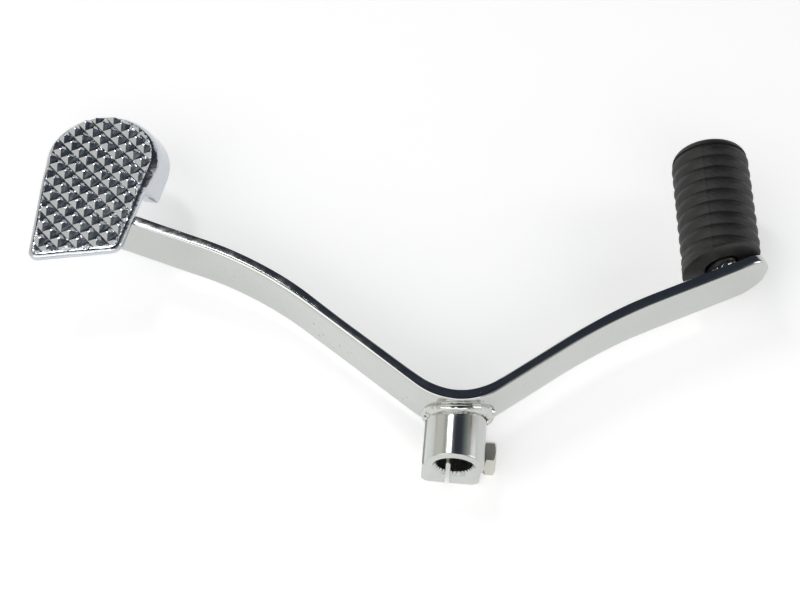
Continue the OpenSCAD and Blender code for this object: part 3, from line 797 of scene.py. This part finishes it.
def maths(tree, operation, a, b=0.0, clamp=False):
    """One arithmetic step on two values."""
    node = add(tree, "ShaderNodeMath", [(0, a), (1, b)], operation=operation, use_clamp=clamp)
    return node.outputs[0]


def spread(tree, value, low, high, to_low=0.0, to_high=1.0):
    """Stretches a range of a value to another range, and holds it there."""
    node = add(tree, "ShaderNodeMapRange", [("Value", value), ("From Min", low), ("From Max", high),
                                            ("To Min", to_low), ("To Max", to_high)])
    return node.outputs[0]


def make_plating():
    """Waves, polishing lines, pits and haze from object coordinates.

    Roughness is a base plus haze; height is waves plus lines less pits.
    """
    group, given, result = new_group(
        "worn_plating",
        [("Base roughness", 0.08), ("Haze", 0.1), ("Waves", 1.0), ("Lines", 0.3), ("Pits", 0.5),
         ("Wave scale", 90.0)],
        [("Shade", "NodeSocketFloat"), ("Roughness", "NodeSocketFloat"),
         ("Height", "NodeSocketFloat")])
    place = group.nodes.new("ShaderNodeTexCoord").outputs["Object"]
    wave = noise(group, place, given.outputs["Wave scale"], 2.0, 0.45)
    fine = noise(group, place, 1500.0, 2.0)
    stretched = add(group, "ShaderNodeMapping", [("Vector", place), ("Scale", (260, 260, 2600))])
    lines_value = noise(group, stretched.outputs[0], 1.0, 3.0, 0.6)
    cells = add(group, "ShaderNodeTexVoronoi", [("Vector", place), ("Scale", 420.0)])
    patch = spread(group, noise(group, place, 55.0, 2.0), 0.56, 0.66)
    dot = spread(group, cells.outputs["Distance"], 0.10, 0.24, 1.0, 0.0)
    pits = maths(group, "MULTIPLY", maths(group, "MULTIPLY", dot, patch), given.outputs["Pits"])
    haze = maths(group, "MULTIPLY", spread(group, noise(group, place, 140.0, 5.0, 0.7), 0.42, 0.75),
                 given.outputs["Haze"])
    rough = maths(group, "ADD", given.outputs["Base roughness"], haze)
    rough = maths(group, "ADD", rough, maths(group, "MULTIPLY", pits, 0.35), clamp=True)
    shade = maths(group, "SUBTRACT", spread(group, fine, 0.3, 0.7, 0.96, 1.0),
                  maths(group, "MULTIPLY", pits, 0.35))
    height = maths(group, "MULTIPLY", wave, given.outputs["Waves"])
    height = maths(group, "ADD", height,
                   maths(group, "MULTIPLY", maths(group, "MULTIPLY", lines_value, 0.03),
                         given.outputs["Lines"]))
    height = maths(group, "SUBTRACT", height, maths(group, "MULTIPLY", pits, 0.12))
    for label, value in (("Shade", shade), ("Roughness", rough), ("Height", height)):
        group.links.new(value, result.inputs[label])
    return group


PLATING = make_plating()
print("plating group has", len(PLATING.nodes), "nodes")

# %% Metal and rubber finishes
def metal(name, tint, roughness, haze, waves, lines_strength, pits, bump=0.6, wave_scale=90.0):
    """Metallic finish whose colour, gloss and bump come from the plating group."""
    finish = bpy.data.materials.new(name)
    finish.use_nodes = True
    tree = finish.node_tree
    shader = tree.nodes["Principled BSDF"]
    wear = add(tree, "ShaderNodeGroup", node_tree=PLATING)
    for label, value in (("Base roughness", roughness), ("Haze", haze), ("Waves", waves),
                         ("Lines", lines_strength), ("Pits", pits), ("Wave scale", wave_scale)):
        wear.inputs[label].default_value = value
    shaded = add(tree, "ShaderNodeMix", data_type="RGBA", blend_type="MULTIPLY")
    shaded.inputs["Factor"].default_value = 1.0
    shaded.inputs[6].default_value = (*tint, 1)
    tree.links.new(wear.outputs["Shade"], shaded.inputs[7])
    tree.links.new(shaded.outputs[2], shader.inputs["Base Color"])
    tree.links.new(wear.outputs["Roughness"], shader.inputs["Roughness"])
    shader.inputs["Metallic"].default_value = 1.0
    dent = add(tree, "ShaderNodeBump", [("Height", wear.outputs["Height"]), ("Strength", bump),
                                        ("Distance", 0.0008)])
    tree.links.new(dent.outputs[0], shader.inputs["Normal"])
    return finish


def dark_rubber():
    """Moulded rubber: charcoal with paler dust, a matte skin and a fine grain."""
    finish = bpy.data.materials.new("moulded_rubber")
    finish.use_nodes = True
    tree = finish.node_tree
    shader = tree.nodes["Principled BSDF"]
    place = tree.nodes.new("ShaderNodeTexCoord").outputs["Object"]
    cloud = noise(tree, place, 130.0, 5.0, 0.65)
    grain = noise(tree, place, 2600.0, 3.0, 0.6)
    ramp = add(tree, "ShaderNodeValToRGB", [("Fac", cloud)])
    ramp.color_ramp.elements[0].position, ramp.color_ramp.elements[1].position = 0.35, 0.75
    ramp.color_ramp.elements[0].color = (0.010, 0.010, 0.010, 1)
    ramp.color_ramp.elements[1].color = (0.024, 0.023, 0.023, 1)
    tree.links.new(ramp.outputs[0], shader.inputs["Base Color"])
    tree.links.new(spread(tree, cloud, 0.3, 0.7, 0.44, 0.62), shader.inputs["Roughness"])
    shader.inputs["Specular IOR Level"].default_value = 0.45
    height = maths(tree, "ADD", maths(tree, "MULTIPLY", grain, 0.25), cloud)
    dent = add(tree, "ShaderNodeBump", [("Height", height), ("Strength", 0.35),
                                        ("Distance", 0.0004)])
    tree.links.new(dent.outputs[0], shader.inputs["Normal"])
    return finish


BRIGHT = (0.56, 0.57, 0.555)
bar_chrome = metal("bar_chrome", BRIGHT, 0.09, 0.16, 0.30, 0.7, 0.8, wave_scale=70.0)
boss_chrome = metal("boss_chrome", BRIGHT, 0.17, 0.08, 0.14, 0.6, 0.5)
pad_chrome = metal("pad_chrome", (0.60, 0.62, 0.66), 0.11, 0.14, 0.45, 0.6, 0.4, wave_scale=330.0)
weld_chrome = metal("weld_chrome", (0.60, 0.60, 0.58), 0.10, 0.12, 0.35, 0.3, 0.9, wave_scale=250.0)
bolt_zinc = metal("bolt_zinc", (0.62, 0.61, 0.56), 0.42, 0.18, 0.15, 0.8, 0.5)
# The washer's zinc is darkened to a 0.22 tint. This is painted shade standing for the shadowed gap
# under the bolt head, not the metal's own colour.
washer_zinc_painted_shade = metal("washer_zinc_painted_shade", (0.22, 0.21, 0.20), 0.30, 0.2, 0.2, 0.8, 0.6)
rubber_finish = dark_rubber()
print("finishes:", [m.name for m in bpy.data.materials])

# %% [markdown]
# ## Fit each surface to the frame
# Every new piece rides on the body of the CAD node that it stands for and hides that node. The
# stem is hidden in the rubber except at its foot, so the CAD node stays and only gets a finish.

# %% Ride and replace
PIECES = [
    (bar, "lever", bar_chrome, "bar_chrome", ["lever_bar"]),
    (boss, "lever", boss_chrome, "boss_chrome", ["clamp_boss"]),
    (ring_weld, "lever", weld_chrome, "weld_chrome", ["boss_weld_ring"]),
    (foot_weld, "lever", weld_chrome, "weld_chrome", ["boss_weld_foot"]),
    (bolt, "bolt", bolt_zinc, "bolt_steel", ["pinch_bolt"]),
    (washer, "washer", washer_zinc_painted_shade, "washer_steel", ["spring_washer"]),
    (peg_bead, "lever", weld_chrome, "weld_chrome", ["peg_weld"]),
    (rubber, "lever", rubber_finish, "peg_rubber", ["toe_rubber"]),
    (heel_plate, "lever", pad_chrome, "pad_chrome", ["heel_pad"]),
    (tread, "lever", pad_chrome, "pad_chrome", []),
    (pad_beads[0], "lever", weld_chrome, "weld_chrome", ["pad_weld_inner"]),
    (pad_beads[1], "lever", weld_chrome, "weld_chrome", ["pad_weld_outer"]),
]
for piece, body, finish, slot_name, nodes in PIECES:
    piece.data.materials.clear()
    piece.data.materials.append(finish)
    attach(piece, body)
    if nodes:
        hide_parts(*nodes)
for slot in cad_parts["peg_stem"].material_slots:
    slot.material = boss_chrome

# %% [markdown]
# ## Floor, light and camera
# Chrome shows what stands round it, so the light matters as much as the metal. A pale floor fills
# the faces that look down. The sky is pale near the horizon and dark overhead. Three cards are
# laid on it: a dark one behind, which the tops of the bar show, a pale one on the left and a thin
# brown stripe for the boss. Four soft boxes put clean white streaks on the round parts.

# %% Floor
FLOOR_Z, FLOOR_RADIUS, FLOOR_SIDES = CAD_BOX[0][2], 9, 96
floor_mesh = bpy.data.meshes.new("studio_floor")
rim_angle = np.linspace(0, 2 * np.pi, FLOOR_SIDES, endpoint=False)
floor_points = np.column_stack([FLOOR_RADIUS * np.cos(rim_angle), FLOOR_RADIUS * np.sin(rim_angle),
                                np.full(FLOOR_SIDES, FLOOR_Z)])
floor_mesh.from_pydata(floor_points.tolist(), [], [list(range(FLOOR_SIDES))])
studio_floor = bpy.data.objects.new("studio_floor", floor_mesh)
bpy.context.scene.collection.objects.link(studio_floor)
floor_finish = bpy.data.materials.new("pale_floor")
floor_finish.use_nodes = True
floor_tree = floor_finish.node_tree
floor_shader = floor_tree.nodes["Principled BSDF"]
floor_place = floor_tree.nodes.new("ShaderNodeTexCoord").outputs["Object"]
floor_tone = add(floor_tree, "ShaderNodeValToRGB", [("Fac", noise(floor_tree, floor_place, 8.0))])
floor_tone.color_ramp.elements[0].color = (0.86, 0.86, 0.86, 1)
floor_tone.color_ramp.elements[1].color = (0.90, 0.90, 0.90, 1)
floor_tree.links.new(floor_tone.outputs[0], floor_shader.inputs["Base Color"])
floor_shader.inputs["Roughness"].default_value = 0.75
floor_shader.inputs["Emission Color"].default_value = (1, 1, 1, 1)
floor_shader.inputs["Emission Strength"].default_value = 0.42
floor_mesh.materials.append(floor_finish)

# %% Sky and soft boxes
world = bpy.data.worlds.new("studio")
bpy.context.scene.world = world
world.use_nodes = True
sky = world.node_tree
direction = sky.nodes.new("ShaderNodeTexCoord").outputs["Generated"]
axes = add(sky, "ShaderNodeSeparateXYZ", [("Vector", direction)])
upward = axes.outputs["Z"]
sky_ramp = add(sky, "ShaderNodeValToRGB", [("Fac", spread(sky, upward, -0.2, 1.0))])
stops = [(0.0, (0.90, 0.90, 0.89)), (0.17, (0.92, 0.92, 0.91)), (0.46, (0.80, 0.80, 0.77)),
         (0.58, (0.60, 0.62, 0.58)), (0.80, (0.24, 0.27, 0.25)), (0.88, (0.050, 0.058, 0.078)),
         (1.0, (0.018, 0.022, 0.032))]
while len(sky_ramp.color_ramp.elements) < len(stops):
    sky_ramp.color_ramp.elements.new(0.5)
for element, (position, colour) in zip(sky_ramp.color_ramp.elements, stops):
    element.position, element.color = position, (*colour, 1)


def card(base, mask, colour):
    """Lays a coloured card over part of the sky where its mask is one."""
    mix = add(sky, "ShaderNodeMix", data_type="RGBA")
    sky.links.new(mask, mix.inputs["Factor"])
    sky.links.new(base, mix.inputs[6])
    mix.inputs[7].default_value = (*colour, 1)
    return mix.outputs[2]


sideways, backward = axes.outputs["X"], axes.outputs["Y"]
back_mask = maths(sky, "MULTIPLY", spread(sky, backward, 0.44, 0.51),
                  spread(sky, upward, 0.08, 0.20))
left_mask = spread(sky, sideways, -0.60, -0.72)
with_back = card(sky_ramp.outputs[0], back_mask, (0.035, 0.042, 0.060))
with_left = card(with_back, left_mask, (0.80, 0.79, 0.73))
stripe = maths(sky, "MULTIPLY", spread(sky, sideways, 0.68, 0.71),
               spread(sky, sideways, 0.77, 0.74))
stripe_mask = maths(sky, "MULTIPLY", stripe, spread(sky, upward, 0.25, 0.35))
with_stripe = card(with_left, stripe_mask, (0.13, 0.09, 0.085))
sky.links.new(with_stripe, sky.nodes["Background"].inputs["Color"])
sky.nodes["Background"].inputs["Strength"].default_value = 1.0
AIM = Vector((-0.01, 0.045, 0.0))


def soft_box(name, towards, distance, width, length, watts):
    """Rectangular area light that faces the lever from a given direction."""
    light = bpy.data.lights.new(name, "AREA")
    light.shape, light.size, light.size_y, light.energy = "RECTANGLE", width, length, watts
    lamp = bpy.data.objects.new(name, light)
    bpy.context.scene.collection.objects.link(lamp)
    way = Vector(towards).normalized()
    lamp.location = AIM + way * distance
    lamp.rotation_euler = (-way).to_track_quat("-Z", "Y").to_euler()
    return lamp


soft_box("key_box", (-0.50, -0.60, 0.75), 0.9, 0.8, 0.8, 2.6)
soft_box("front_box", (0.25, -0.95, 0.75), 1.0, 0.7, 0.4, 1.3)
soft_box("streak_box", (-0.40, 0.42, 0.82), 0.9, 0.12, 0.25, 1.1)
soft_box("right_box", (0.95, 0.2, 0.5), 1.0, 0.3, 0.5, 1.0)

# %% Camera
TURN, TILT, ROLL = (np.radians(v) for v in (-2.0614, -32.1350, -6.0397))
CAMERA_DISTANCE = 0.33703
AIM_OFFSET = (0.016498, -0.051272)
looking = (Matrix.Rotation(ROLL, 3, "Z") @ Matrix.Rotation(TILT, 3, "X")
           @ Matrix.Rotation(TURN, 3, "Y")).transposed()
lens = bpy.data.cameras.new("studio_camera")
lens.lens, lens.sensor_width = 49.5, 36.0
lens.clip_start, lens.clip_end = 0.01, 20.0
camera = bpy.data.objects.new("studio_camera", lens)
bpy.context.scene.collection.objects.link(camera)
camera.matrix_world = looking.to_4x4()
camera.location = looking @ Vector((-AIM_OFFSET[0], -AIM_OFFSET[1], CAMERA_DISTANCE)) \
    + Vector((0, -BOSS_BACK * MM, 0))
bpy.context.scene.camera = camera
bpy.context.scene.view_settings.view_transform = "Standard"
print("camera at", tuple(round(v, 4) for v in camera.location))

# %% Update the scene
bpy.context.view_layer.update()
